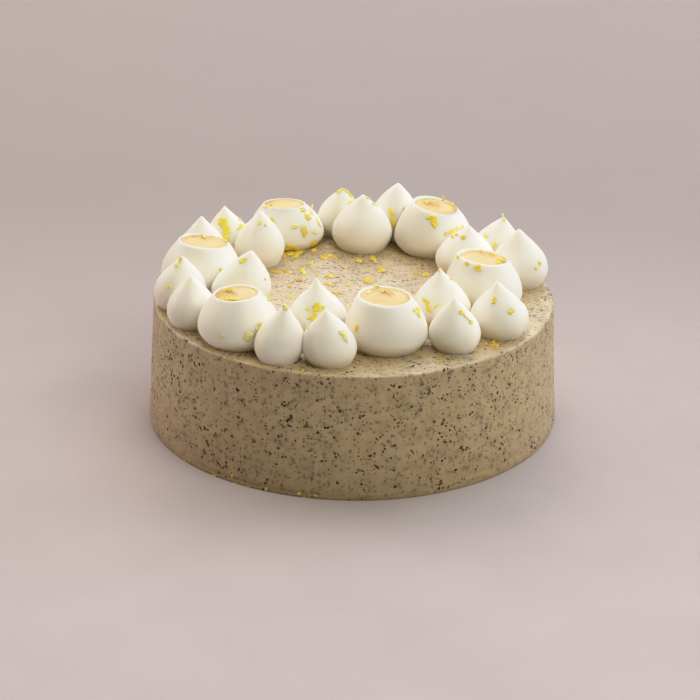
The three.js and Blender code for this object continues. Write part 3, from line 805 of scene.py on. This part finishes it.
def press(cream):
    """Cuts a piece flat where its neighbours press on it."""
    for place, outward in contacts(cream):
        bpy.ops.mesh.select_all(action="SELECT")
        bpy.ops.mesh.bisect(plane_co=place, plane_no=outward, use_fill=True, clear_outer=True)


def side_rings(cream, last, steps, crowding):
    """The rings of a piece from just under its foot over its belly, and on to the last share of
    its height, nearer and nearer together."""
    shares = [-FOOT_SINK / cream.height] + [BELLY_STEP * step for step in range(BELLY_RINGS)]
    shares += [GIRTH_LEVEL + (last - GIRTH_LEVEL) * (1 - (1 - step / steps) ** crowding)
               for step in range(1, steps + 1)]
    return [cream_ring(cream, share) for share in shares]


def kiss_rings(cream, nib, draw):
    """The rings of a kiss, with the nib that the nozzle pulls up as it lets go, a little askew."""
    top = 1 - nib / cream.height
    rings = side_rings(cream, top, steps=24, crowding=1.35)
    hook = Vector((draw.uniform(-1, 1), draw.uniform(-1, 1), 0)) * NIB_HOOK * nib
    start = rings[-1].radius
    for step in range(1, NIB_RINGS):
        part = step / NIB_RINGS
        ring = cream_ring(cream, top + (1 - top) * part)
        narrow = start * (1 - part) ** 1.2 * 0.9 + NIB_TIP * part
        rings.append(Ring(narrow, ring.middle + hook * part ** 2))
    return rings


def arc(start, corner, end, steps):
    """Points of a soft bend from start to end round a corner, each a radius and a height."""
    for step in range(1, steps + 1):
        part = step / steps
        yield [a * (1 - part) ** 2 + b * 2 * part * (1 - part) + c * part ** 2
               for a, b, c in zip(start, corner, end)]


def well_radius(cream, depth):
    """The radius of a well, whose wall slopes in under the lip and then stands nearly upright."""
    sloped = min(max(depth - LIP_INSIDE, 0) / (WALL_DEPTH - LIP_INSIDE), 1)
    return cream.mouth - WALL_SLOPE * sloped - WELL_NARROWING * depth / WELL_DEPTH


def filled_rings(cream):
    """The rings of a filled dollop: up its side, over its soft lip and down into the well."""
    rings = side_rings(cream, 1 - SHOULDER / cream.height, steps=20, crowding=1.4)
    inner = cream.mouth
    crest = (inner + LIP_INSIDE, 0)
    bends = [*arc((rings[-1].radius, -SHOULDER), (inner + LIP_OUTSIDE, 0), crest, 7),
             *arc(crest, (inner, 0), (inner, -2 * LIP_INSIDE), 5)]
    bends += [(well_radius(cream, depth), -depth) for depth in WELL_RINGS]
    rings += [cream_ring(cream, 1 + height / cream.height, radius) for radius, height in bends]
    bottom = rings[-1]
    rings += [bottom._replace(radius=bottom.radius * part) for part in WELL_BOTTOM]
    return rings


def pipe(cream, rings, sides, uneven, wobble, settings):
    """Makes a piece of cream from its rings, uneven as piped cream is, tints its well if it has
    one with curd stain and painted reflection of the curd, and presses it on its neighbours."""
    name = f"piped_{cream.name}"
    loft(rings, sides)
    piece = finish_edit(name)
    if cream.mouth:
        tint_well_by_curd(piece, cream)
    apply_displace(piece, uneven, wobble)
    bpy.ops.object.mode_set(mode="EDIT")
    press(cream)
    finish_edit(name)
    hand_over(piece, material_for(cream_material, settings), cream.name)


def tint_well_by_curd(piece, cream):
    """Marks how much curd stain and painted reflection of the curd the cream shows: all inside the well, and
    none from its lip on.
    """
    lip = cream_ring(cream, 1)
    slope = Vector((math.tan(lip.fall_right), math.tan(lip.fall_back)))
    shares = []
    for vertex in piece.data.vertices:
        away = vertex.co.xy - lip.middle.xy
        depth = lip.middle.z - slope.dot(away) - vertex.co.z
        inside = away.length < cream.mouth + FOOT_BAND
        shares.append(min(max(depth / WELL_TINT_DEPTH, 0), 1) if inside else 0)
    piece.data.attributes.new("stain", "FLOAT", "POINT").data.foreach_set("value", shares)


def curd_level(cream, pool):
    """How far the edge of the curd lies below the lip at the middle of the mouth."""
    steepness = math.hypot(math.tan(cream.fall_right), math.tan(cream.fall_back))
    return pool.drop * MM + (1 - pool.tilt) * steepness * cream.mouth


def curd_radius(cream, pool):
    """The radius of a pool at its top. It just reaches into the wall where that is lowest."""
    return well_radius(cream, pool.drop * MM) + CURD_BITE


def curd_rings(cream, pool):
    """The rings of a pool of curd: from the bottom of its well up, and in over a flat top."""
    def ring(depth, radius, share=1.0):
        place = cream_ring(cream, 1 - depth / cream.height)
        return Ring(radius, place.middle, place.fall_right * share, place.fall_back * share)
    level = curd_level(cream, pool)
    wall = curd_radius(cream, pool)
    return [*[ring(depth, well_radius(cream, depth) + CURD_BITE) for depth in CURD_DEPTHS],
            *[ring(level, wall * (1 - step / CURD_RINGS), pool.tilt) for step in range(CURD_RINGS)]]


def bump(value, middle, width):
    """A smooth hump that is 1 in its middle."""
    return math.exp(-((value - middle) / width) ** 2)


def swirl_curd(piece, cream, pool, settings):
    """Raises the top of a pool into a soft mound with a peak. One ridge runs down from the peak to
    the front right, and a second one bends round on the right, where the nozzle ended."""
    middle = cream_ring(cream, 1 - curd_level(cream, pool) / cream.height).middle
    wall = curd_radius(cream, pool)
    peak = Vector((pool.peak_right, pool.peak_back)) * cream.mouth
    slope = Vector((math.tan(cream.fall_right), math.tan(cream.fall_back))) * pool.tilt
    for vertex in piece.data.vertices:
        away = vertex.co.xy - middle.xy
        if vertex.co.z + slope.dot(away) < middle.z - CURD_TOP_BAND:
            continue
        run = away - peak
        along = peak.dot(run.normalized())
        reach = math.sqrt(along ** 2 + wall ** 2 - peak.length_squared) - along
        out = min(run.length / reach, 1)
        angle = math.atan2(run.y, run.x)
        tail = bump(angle, -0.45 - 0.25 * out, 0.35) * bump(out, 0.2, 0.22)
        crescent = max(math.cos(angle + 0.15), 0) ** 1.5 * bump(out, 0.82, 0.24)
        if pool.flat:
            vertex.co.z += 0.8 * settings.mound * (1 - out ** 2.6) + 0.4 * settings.swirl * crescent
            continue
        vertex.co.z += settings.mound * (1 - out ** 1.5) + settings.swirl * (crescent + tail)
        vertex.co.z += settings.peak * math.exp(-(run.length / PEAK_WIDTH) ** 1.1) * (1 - out)


class CAKE_OT_camera(bpy.types.Operator):
    """Set the camera where the photograph was taken from"""
    bl_idname = "cake.camera"
    bl_label = "Camera"

    def execute(self, context):
        right, up, forward = camera_axes()
        camera = bpy.data.objects.new("camera", bpy.data.cameras.new("camera"))
        context.scene.collection.objects.link(camera)
        camera.data.lens = LENS
        camera.data.sensor_width = SENSOR
        camera.data.clip_start = 0.1
        camera.data.clip_end = 20
        turn = Matrix((right, up, -forward)).transposed()
        camera.matrix_world = Matrix.Translation(camera_place()) @ turn.to_4x4()
        context.scene.camera = camera
        return {"FINISHED"}


def camera_axes():
    """The camera's right, up and forward directions."""
    sine = math.sin(CAMERA_ELEVATION)
    cosine = math.cos(CAMERA_ELEVATION)
    level = Vector((1, 0, 0))
    upright = Vector((0, sine, cosine))
    right = math.cos(CAMERA_ROLL) * level + math.sin(CAMERA_ROLL) * upright
    up = math.cos(CAMERA_ROLL) * upright - math.sin(CAMERA_ROLL) * level
    return right, up, Vector((0, cosine, -sine))


def camera_place():
    """Where the camera stands."""
    right, up, forward = camera_axes()
    return AIM_RIGHT * right + AIM_UP * up - CAMERA_DISTANCE * forward


def pixel_ray(x, y):
    """The direction in which the camera sees a pixel of the photograph."""
    right, up, forward = camera_axes()
    pixel = SENSOR / LENS / PHOTO_SIZE
    half = PHOTO_SIZE / 2
    return (forward + (x - half) * pixel * right - (y - half) * pixel * up).normalized()


def cake_rings():
    """The rings of the buttercreamed cake: up the side, round the rim and in over the top."""
    def side(height):
        return FOOT_RADIUS + (TOP_RADIUS - FOOT_RADIUS) * height / CAKE_TOP
    rings = [(side(height * MM) + out * MM, height * MM) for height, out in FOOT_LEVELS]
    low = rings[-1][1]
    high = CAKE_TOP - RIM_ROUNDING
    for step in range(1, SIDE_RINGS + 1):
        height = low + (high - low) * step / SIDE_RINGS
        rings.append((side(height), height))
    for step in range(1, RIM_RINGS + 1):
        turn = math.pi / 2 * step / RIM_RINGS
        rings.append((side(high) - RIM_ROUNDING * (1 - math.cos(turn)), high + RIM_ROUNDING * math.sin(turn)))
    edge = rings[-1][0]
    rings += [(edge * (1 - step / TOP_RINGS), CAKE_TOP) for step in range(1, TOP_RINGS)]
    return [Ring(radius, Vector((0, 0, height))) for radius, height in rings]


def wave(angle):
    """How far the cake's side stands out of round, as its solid does."""
    return (0.3 * math.sin(3 * angle + 0.6) + 0.18 * math.sin(5 * angle + 2.1)) * MM


class CAKE_OT_buttercream(bpy.types.Operator):
    """Make the cake in its coat of tea-flecked buttercream, with a fold at its foot"""
    bl_idname = "cake.buttercream"
    bl_label = "Buttercream"

    def execute(self, context):
        settings = context.scene.cake_buttercream
        loft(cake_rings(), CAKE_SIDES)
        piece = finish_edit("buttercream_cake", 60)
        coat = piece.vertex_groups.new(name="coat")
        for vertex in piece.data.vertices:
            angle = math.atan2(vertex.co.y, vertex.co.x)
            fold = FOLD_DEPTH * bump(angle, FOLD_TURN, 0.24) * bump(vertex.co.z, FOLD_HEIGHT, FOLD_WIDTH)
            swell = 1 + (wave(angle) - fold) / FOOT_RADIUS
            vertex.co.x *= swell
            vertex.co.y *= swell
            coat.add([vertex.index], min(vertex.co.z / COAT_FADE, 1), "REPLACE")
        apply_displace(piece, clouds("scraped_side", 26 * MM, 2), settings.undulation, "coat")
        apply_displace(piece, clouds("knife_grain", 5 * MM, 2), settings.grain, "coat")
        hand_over(piece, buttercream_material(settings), "cake")
        return {"FINISHED"}


class CAKE_OT_kisses(bpy.types.Operator):
    """Pipe the pointed kisses of the ring"""
    bl_idname = "cake.kisses"
    bl_label = "Kisses"

    def execute(self, context):
        settings = context.scene.cake_cream
        draw = random.Random(11)
        uneven = clouds("piping_wobble", 13 * MM)
        for name in KISSES:
            rings = kiss_rings(PIECES[name], settings.nib * draw.uniform(0.7, 1.3), draw)
            pipe(PIECES[name], rings, settings.sides, uneven, settings.wobble, settings)
        return {"FINISHED"}


class CAKE_OT_smear(bpy.types.Operator):
    """Leave the thin smear of cream that lies in front of a kiss at the right"""
    bl_idname = "cake.smear"
    bl_label = "Smear of cream"

    def execute(self, context):
        draw = random.Random(5)
        own = skin_of([bpy.data.objects["buttercream_cake"]])
        shapes = [shred_shape(draw)]
        joined = Joined()
        for laid in laid_shreds(SMEAR, own, Vector((0, 0, 0)), SMEAR_THICKNESS, shapes, own, draw):
            joined.add(*laid)
        material = material_for(cream_material, context.scene.cake_cream)
        hand_over(joined.piece("cream_smear"), material)
        return {"FINISHED"}


class CAKE_OT_dollops(bpy.types.Operator):
    """Pipe the wide dollops and press a well into each"""
    bl_idname = "cake.dollops"
    bl_label = "Open dollops"

    def execute(self, context):
        settings = context.scene.cake_cream
        uneven = clouds("dollop_wobble", 17 * MM)
        wobble = settings.wobble * DOLLOP_WOBBLE
        for name in DOLLOPS:
            rings = filled_rings(PIECES[name])
            pipe(PIECES[name], rings, settings.filled_sides, uneven, wobble, settings)
        return {"FINISHED"}


class CAKE_OT_curd(bpy.types.Operator):
    """Fill the wells with lemon curd"""
    bl_idname = "cake.curd"
    bl_label = "Lemon curd"

    def execute(self, context):
        settings = context.scene.cake_curd
        uneven = clouds("curd_wobble", 12 * MM)
        for name, pool in zip(DOLLOPS, POOLS):
            cream = PIECES[name]
            node = name.replace("filled_dollop", "lemon_curd")
            loft(curd_rings(cream, pool), CURD_SIDES)
            piece = finish_edit(f"pool_of_{node}")
            swirl_curd(piece, cream, pool, settings)
            apply_displace(piece, uneven, CURD_UNEVEN)
            hand_over(piece, material_for(curd_material, settings), node)
        return {"FINISHED"}


class Joined:
    """Many small shapes that become one mesh. Each has a tone, which its material can read."""

    def __init__(self):
        self.points = []
        self.faces = []
        self.tones = []

    def add(self, points, faces, tone=0.0):
        first = len(self.points)
        self.points.extend(points)
        self.faces.extend(tuple(first + index for index in face) for face in faces)
        self.tones.extend([tone] * len(points))

    def piece(self, name):
        mesh = bpy.data.meshes.new(name)
        mesh.from_pydata(self.points, [], self.faces)
        mesh.attributes.new("tone", "FLOAT", "POINT").data.foreach_set("value", self.tones)
        mesh.shade_smooth()
        piece = bpy.data.objects.new(name, mesh)
        bpy.context.scene.collection.objects.link(piece)
        return piece


def skin_of(pieces):
    """A tree of the faces of some pieces, in which rays and near points are found."""
    points = []
    faces = []
    for piece in pieces:
        first = len(points)
        points.extend(vertex.co for vertex in piece.data.vertices)
        faces.extend([first + index for index in face.vertices] for face in piece.data.polygons)
    return BVHTree.FromPolygons(points, faces)


def finished_pieces():
    """The pieces that carry zest, by the name of the node that each stands for."""
    pieces = {"cake": bpy.data.objects["buttercream_cake"]}
    for name in DOLLOPS + KISSES:
        pieces[name] = bpy.data.objects[f"piped_{name}"]
    for sector in SECTORS:
        pieces[f"lemon_curd_{sector}"] = bpy.data.objects[f"pool_of_lemon_curd_{sector}"]
    return pieces


def take_shape():
    """The points and faces of the shape at hand, which is then removed."""
    piece = bpy.context.active_object
    mesh = piece.data
    points = [vertex.co.copy() for vertex in mesh.vertices]
    faces = [tuple(face.vertices) for face in mesh.polygons]
    bpy.data.objects.remove(piece)
    bpy.data.meshes.remove(mesh)
    return points, faces


def leaf_shape(seed):
    """A scrap of crushed leaf, about 1 across."""
    deselect()
    bpy.ops.mesh.primitive_ico_sphere_add(subdivisions=1, radius=0.5, enter_editmode=True)
    bpy.ops.transform.vertex_random(offset=0.16, uniform=0.5, normal=0.0, seed=seed)
    finish_edit("leaf", 180)
    return take_shape()


def surface_axes(normal, turn):
    """A direction along a surface, at an angle, and the one across it."""
    level = Vector((0, 0, 1)).cross(normal)
    first = level.normalized() if level.length > 0.1 else Vector((1, 0, 0))
    second = normal.cross(first)
    along = math.cos(turn) * first + math.sin(turn) * second
    return along, normal.cross(along)


def drift(place):
    """How much tea there is at a place, from 0 to 1: wide drifts with small ones in them."""
    wide = noise.noise(place / WIDE_DRIFT)
    small = noise.noise(place / SMALL_DRIFT + Vector((7, 3, 5)))
    return min(max(0.45 + 0.8 * wide + 0.7 * small, 0), 1)


def heading(angle):
    """The level direction at an angle, counted from the right round to the back."""
    return Vector((math.cos(angle), math.sin(angle), 0))


def side_spot(skin, angle, height):
    """Where a line from outside meets the cake's side, and its normal there."""
    start = heading(angle) * (FOOT_RADIUS + WELL_CLEAR) + Vector((0, 0, height))
    return skin.ray_cast(start, -heading(angle))[:2]


def top_spot(skin, place):
    """Where an upright line meets the cake's top, and its normal there."""
    start = Vector((place.x, place.y, CAKE_TOP + WELL_CLEAR))
    return skin.ray_cast(start, Vector((0, 0, -1)))[:2]


def under_cream(place):
    """Whether a piece of cream stands on a place on the cake's top."""
    return any((place.xy - cream.foot.xy).length < HEEL * cream.girth for cream in PIECES.values())


def tea_spots(draw, skin, settings):
    """Places and normals for scraps of tea, on the side and then on the top, some in clumps."""
    for wanted, on_side in ((settings.side_scraps, True), (settings.top_scraps, False)):
        found = 0
        while found < wanted:
            angle = draw.uniform(-math.pi, math.pi)
            height = draw.uniform(TEA_MARGIN, CAKE_TOP - TEA_MARGIN)
            flat = heading(angle) * TOP_RADIUS * math.sqrt(draw.random())
            likely = drift(flat.normalized() * FOOT_RADIUS + Vector((0, 0, height)) if on_side else flat)
            if draw.random() > likely:
                continue
            clump = draw.randint(2, 4) if draw.random() < CLUMP_SHARE else 1
            for member in range(clump):
                stray = CLUMP_STRAY if member else 0
                sideways = draw.gauss(0, stray)
                upwards = draw.gauss(0, stray)
                if on_side:
                    held = min(max(height + upwards, LOWEST_LEAF), HIGHEST_LEAF)
                    place, normal = side_spot(skin, angle + sideways / FOOT_RADIUS, held)
                else:
                    place, normal = top_spot(skin, flat + Vector((sideways, upwards, 0)))
                found += 1
                if place and (on_side or not under_cream(place)):
                    yield place, normal


class CAKE_OT_tea(bpy.types.Operator):
    """Strew scraps of tea leaf into the surface of the buttercream"""
    bl_idname = "cake.tea"
    bl_label = "Tea leaf"

    def execute(self, context):
        settings = context.scene.cake_tea
        draw = random.Random(29)
        shapes = [leaf_shape(seed) for seed in range(4)]
        black = Joined()
        russet = Joined()
        for place, normal in tea_spots(draw, skin_of([bpy.data.objects["buttercream_cake"]]), settings):
            points, faces = draw.choice(shapes)
            along, across = surface_axes(normal, draw.uniform(0, math.pi))
            usual = settings.size
            if abs(normal.z) > 0.7:
                usual *= 0.65 + 0.3 * (place.xy.length / TOP_RADIUS) ** 3
            long = usual * min(max(draw.lognormvariate(0, 0.38), 0.45), 1.7)
            wide = long * draw.uniform(0.55, 0.95)
            thick = draw.uniform(0.2, 0.3) * MM
            centre = place - normal * (thick / 2 - LEAF_PROUD)
            moved = [centre + along * p.x * long + across * p.y * wide + normal * p.z * thick for p in points]
            (russet if draw.random() < RUSSET_SHARE else black).add(moved, faces)
        for joined, name, tint in ((black, "tea_leaf_black", settings.leaf),
                                   (russet, "tea_leaf_russet", settings.russet)):
            hand_over(joined.piece(name), leaf_material(name, tint))
        return {"FINISHED"}


def shred_shape(draw):
    """A rough shred of zest with blunt ends, one long along Z and about one wide."""
    rings = []
    for step in range(SHRED_RINGS + 1):
        part = step / SHRED_RINGS
        radius = 0.5 * (1 - 0.5 * abs(2 * part - 1) ** 5) * draw.uniform(0.75, 1.3)
        middle = Vector((draw.uniform(-0.2, 0.2), draw.uniform(-0.2, 0.2), part - 0.5))
        rings.append(Ring(radius, middle))
    loft(rings, SHRED_SIDES)
    finish_edit("shred", 180)
    return take_shape()


def strips(shred, draw):
    """A shred as it lies: a torn strip, with shorter and narrower ones that cling to its sides."""
    yield shred
    turn = math.radians(shred.turn)
    for side in () if shred.stands or shred.length < 1.3 else (-1, 1):
        aside = side * draw.uniform(0.35, 0.55) * shred.width / PHOTO_PIXEL
        onward = draw.uniform(-0.2, 0.2) * shred.length / PHOTO_PIXEL
        yield shred._replace(
            x=shred.x + onward * math.cos(turn) - aside * math.sin(turn),
            y=shred.y - onward * math.sin(turn) - aside * math.cos(turn),
            length=shred.length * draw.uniform(0.5, 0.85),
            turn=shred.turn + draw.uniform(-14, 14),
            tone=min(max(shred.tone + draw.uniform(-0.2, 0.2), PALE), DEEP),
            width=shred.width * draw.uniform(0.6, 0.9))


def lie(points, place, along, across, size, skin, draw):
    """Lays a shape along a skin and clear of the floor. Its size is its length, width and
    thickness, it bends a little, and one of its ends may curl up."""
    long, wide, thick = size
    bend = draw.uniform(-0.35, 0.35) * long
    curl = draw.choice((-1, 1)) * draw.uniform(0, 0.45) * thick
    moved = []
    for p in points:
        wanted = place + along * p.z * long + across * (p.x * wide + bend * (4 * p.z ** 2 - 0.3))
        near, normal, _, _ = skin.find_nearest(wanted)
        spot = near + normal * (thick * (p.y + 0.3) + curl * max(2 * p.z * math.copysign(1, curl), 0))
        spot.z = max(spot.z, 0)
        moved.append(spot)
    return moved


def stand(points, root, along, across, size):
    """Stands a shape up on its root, which is a little way under the skin."""
    long, wide, thick = size
    side = along.cross(across)
    return [root + along * ((p.z + 0.5) * long - ZEST_ROOT) + across * p.x * wide + side * p.y * thick
            for p in points]


def find_seen(shred, skin, middle):
    """Where the camera sees a shred's pixel on the piece that carries it, or the nearest point of
    that piece where the line passes it by."""
    eye = camera_place()
    aim = pixel_ray(shred.x, shred.y)
    place, normal, _, _ = skin.ray_cast(eye, aim)
    if place is None:
        place, normal, _, _ = skin.find_nearest(eye + aim * (middle - eye).dot(aim))
    return place, normal


def laid_shreds(shreds, own, middle, thickness, shapes, skin, draw):
    """Lays shreds where the photograph shows them on the skin of the piece that carries them."""
    right, up, _ = camera_axes()
    for shred in shreds:
        place, normal = find_seen(shred, own, middle)
        turn = math.radians(shred.turn)
        drawn = math.cos(turn) * right + math.sin(turn) * up
        aim = pixel_ray(shred.x, shred.y)
        points, faces = draw.choice(shapes)
        size = Vector((shred.length * MM, shred.width * MM, thickness))
        if shred.stands:
            moved = stand(points, place, drawn, aim.cross(drawn).normalized(), size)
        else:
            facing = min(normal.dot(aim), -0.2)
            along = drawn - drawn.dot(normal) / facing * aim
            size.x *= min(along.length, 1.5)
            along.normalize()
            moved = lie(points, place, along, normal.cross(along), size, skin, draw)
        yield moved, faces, shred.tone


def seen_shreds(shapes, settings, draw, pieces, skin):
    """The shreds that the photograph shows, each on the piece that carries it."""
    for name, shreds in SEEN_ZEST.items():
        carriers = [pieces[name]]
        if name in DOLLOPS:
            carriers.append(pieces[name.replace("filled_dollop", "lemon_curd")])
        middle = PIECES[name].foot if name in PIECES else Vector((0, 0, 0))
        torn = [strip for shred in shreds for strip in strips(shred, draw)]
        if name == "cake":
            torn = [strip._replace(tone=strip.tone + DRIED) for strip in torn]
        yield from laid_shreds(torn, skin_of(carriers), middle, settings.thickness, shapes, skin, draw)


def hidden(place, normal, skin):
    """Whether the camera can't see a place, nor what lies within a shred's reach of it."""
    right, up, _ = camera_axes()
    above = place + normal * SIGHT_GAP
    for aside in (Vector((0, 0, 0)), right, -right, up, -up):
        spot = above + aside * ZEST_REACH
        if skin.ray_cast(spot, camera_place() - spot)[0] is None:
            return False
    return True


def hidden_spots(settings, draw, pieces, skin):
    """Places and normals for shreds that the photograph doesn't show, spread round each piece of
    cream and over the cake's top by a golden angle."""
    for cream in PIECES.values():
        own = skin_of([pieces[cream.name]])
        for step in range(settings.hidden_shreds):
            outward = heading(step * GOLDEN_ANGLE + draw.uniform(-0.4, 0.4))
            level = cream.height * draw.uniform(0.04, 0.92)
            start = cream.foot + outward * 2 * cream.girth + Vector((0, 0, level))
            place, normal, _, _ = own.ray_cast(start, -outward)
            if place and hidden(place, normal, skin):
                yield place, normal
    for step in range(TOP_CANDIDATES):
        away = (TOP_RADIUS - TOP_MARGIN) * math.sqrt((step + 0.5) / TOP_CANDIDATES)
        outward = heading(step * GOLDEN_ANGLE + draw.uniform(-0.3, 0.3))
        place, normal = top_spot(skin, outward * away)
        on_cake = place.z < CAKE_TOP + 1 * MM
        if on_cake and hidden(place, normal, skin):
            yield place, normal


class CAKE_OT_zest(bpy.types.Operator):
    """Grate lemon zest over the cake"""
    bl_idname = "cake.zest"
    bl_label = "Lemon zest"

    def execute(self, context):
        settings = context.scene.cake_zest
        draw = random.Random(17)
        shapes = [shred_shape(draw) for _ in range(6)]
        pieces = finished_pieces()
        skin = skin_of(pieces.values())
        joined = Joined()
        for laid in seen_shreds(shapes, settings, draw, pieces, skin):
            joined.add(*laid)
        for place, normal in hidden_spots(settings, draw, pieces, skin):
            points, faces = draw.choice(shapes)
            along, across = surface_axes(normal, draw.uniform(0, math.pi))
            size = Vector((draw.uniform(1.6, 5), draw.uniform(0.9, 1.8), settings.thickness / MM)) * MM
            moved = lie(points, place, along, across, size, skin, draw)
            joined.add(moved, faces, draw.choice((PALE, BRIGHT, BRIGHT, DEEP)))
        hand_over(joined.piece("lemon_zest"), zest_material(settings))
        return {"FINISHED"}


def area_light(name, turn, elevation, power, tint):
    """A round soft box that faces the cake. Its turn is from the front towards the right."""
    lamp = bpy.data.lights.new(name, "AREA")
    lamp.shape = "DISK"
    lamp.size = SOFT_BOX_SIZE
    lamp.energy = power
    lamp.color = colour(tint)[:3]
    light = bpy.data.objects.new(name, lamp)
    bpy.context.scene.collection.objects.link(light)
    level = math.cos(elevation)
    way = Vector((math.sin(turn) * level, -math.cos(turn) * level, math.sin(elevation)))
    light.location = way * SOFT_BOX_DISTANCE + Vector((0, 0, CAKE_TOP))
    light.rotation_euler = (-way).to_track_quat("-Z", "Y").to_euler()


def soften_highlights(view):
    """Rolls off the brightest tones, as a camera does, so that lit cream keeps its form."""
    view.view_transform = "Standard"
    view.use_curve_mapping = True
    view.curve_mapping.extend = "EXTRAPOLATED"
    tones = view.curve_mapping.curves[3]
    tones.points[-1].location = (1, 0.87)
    for level in (0.15, 0.3, 0.45, 0.6):
        tones.points.new(level, level)
    tones.points.new(0.8, 0.77)
    view.curve_mapping.update()


class CAKE_OT_stage(bpy.types.Operator):
    """Lay the floor and hang the lights"""
    bl_idname = "cake.stage"
    bl_label = "Stage"

    def execute(self, context):
        settings = context.scene.cake_studio
        deselect()
        bpy.ops.mesh.primitive_plane_add(size=FLOOR_WIDTH)
        floor = context.active_object
        floor.name = "studio_floor"
        floor.data.materials.append(paper_material(settings))
        for name, turn, elevation, power, tint in LIGHTS:
            area_light(name, math.radians(turn), math.radians(elevation), power, tint)
        world = bpy.data.worlds.new("air")
        world.use_nodes = True
        background = world.node_tree.nodes["Background"]
        background.inputs["Color"].default_value = settings.air
        background.inputs["Strength"].default_value = settings.air_strength
        context.scene.world = world
        soften_highlights(context.scene.view_settings)
        return {"FINISHED"}


class CAKE_PT_panel(bpy.types.Panel):
    """Lists the steps of the cake in the order in which they are made"""
    bl_idname = "CAKE_PT_panel"
    bl_label = "Lemon earl grey cake"
    bl_space_type = "VIEW_3D"
    bl_region_type = "UI"
    bl_category = "Cake"

    def draw(self, context):
        for step in STEPS:
            self.layout.operator(step.bl_idname)


SETTINGS = {
    "cake_buttercream": ButtercreamSettings,
    "cake_tea": TeaSettings,
    "cake_cream": CreamSettings,
    "cake_curd": CurdSettings,
    "cake_zest": ZestSettings,
    "cake_studio": StudioSettings,
}
STEPS = [CAKE_OT_camera, CAKE_OT_buttercream, CAKE_OT_tea, CAKE_OT_kisses, CAKE_OT_smear,
         CAKE_OT_dollops, CAKE_OT_curd, CAKE_OT_zest, CAKE_OT_stage]


def register():
    for kind in [*SETTINGS.values(), *STEPS, CAKE_PT_panel]:
        bpy.utils.register_class(kind)
    for name, kind in SETTINGS.items():
        setattr(bpy.types.Scene, name, bpy.props.PointerProperty(type=kind))


def unregister():
    for name in SETTINGS:
        delattr(bpy.types.Scene, name)
    for kind in [CAKE_PT_panel, *reversed(STEPS), *SETTINGS.values()]:
        bpy.utils.unregister_class(kind)


def main():
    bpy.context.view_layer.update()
    register()
    bpy.ops.cake.camera()
    bpy.ops.cake.buttercream()
    bpy.ops.cake.tea()
    bpy.ops.cake.kisses()
    bpy.ops.cake.smear()
    bpy.ops.cake.dollops()
    bpy.ops.cake.curd()
    bpy.ops.cake.zest()
    bpy.ops.cake.stage()


if __name__ == "__main__":
    main()
